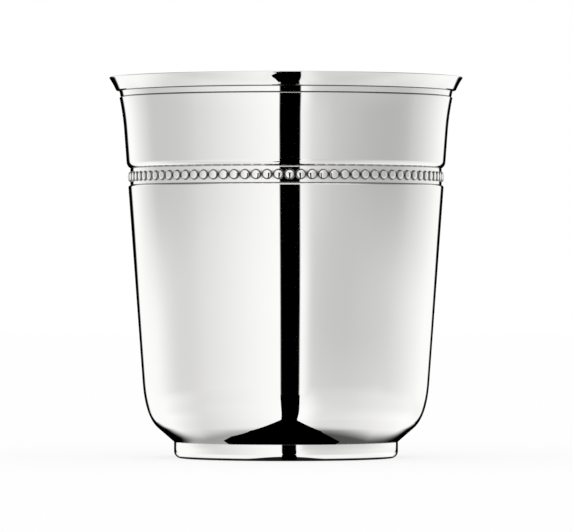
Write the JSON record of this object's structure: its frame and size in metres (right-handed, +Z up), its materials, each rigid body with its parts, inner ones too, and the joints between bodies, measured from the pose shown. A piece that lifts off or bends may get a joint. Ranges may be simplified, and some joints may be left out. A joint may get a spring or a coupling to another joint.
{
  "type": "tumbler",
  "caption": "Tapered silver-plated drinking tumbler with a flared moulded rim, a recessed beaded band below it, a rounded heel and a low ring foot.",
  "frame": {"origin": "middle of the flat face that the foot ring rests on", "axes": "+Z up along the cup's axis towards the mouth; -Y faces the camera of the picture"},
  "size_m": [0.0742, 0.0742, 0.08],
  "materials": {
    "silver_plate": "mirror-polished silver plate on brass",
    "solder": "as flowed, hidden in the joints"
  },
  "bodies": {
    "root": {"cup_body": "silver_plate", "rim_moulding": "silver_plate", "bead_band": "silver_plate", "foot_ring": "silver_plate", "rim_solder": "solder", "band_solder": "solder", "foot_solder": "solder"}
  },
  "joints": []
}
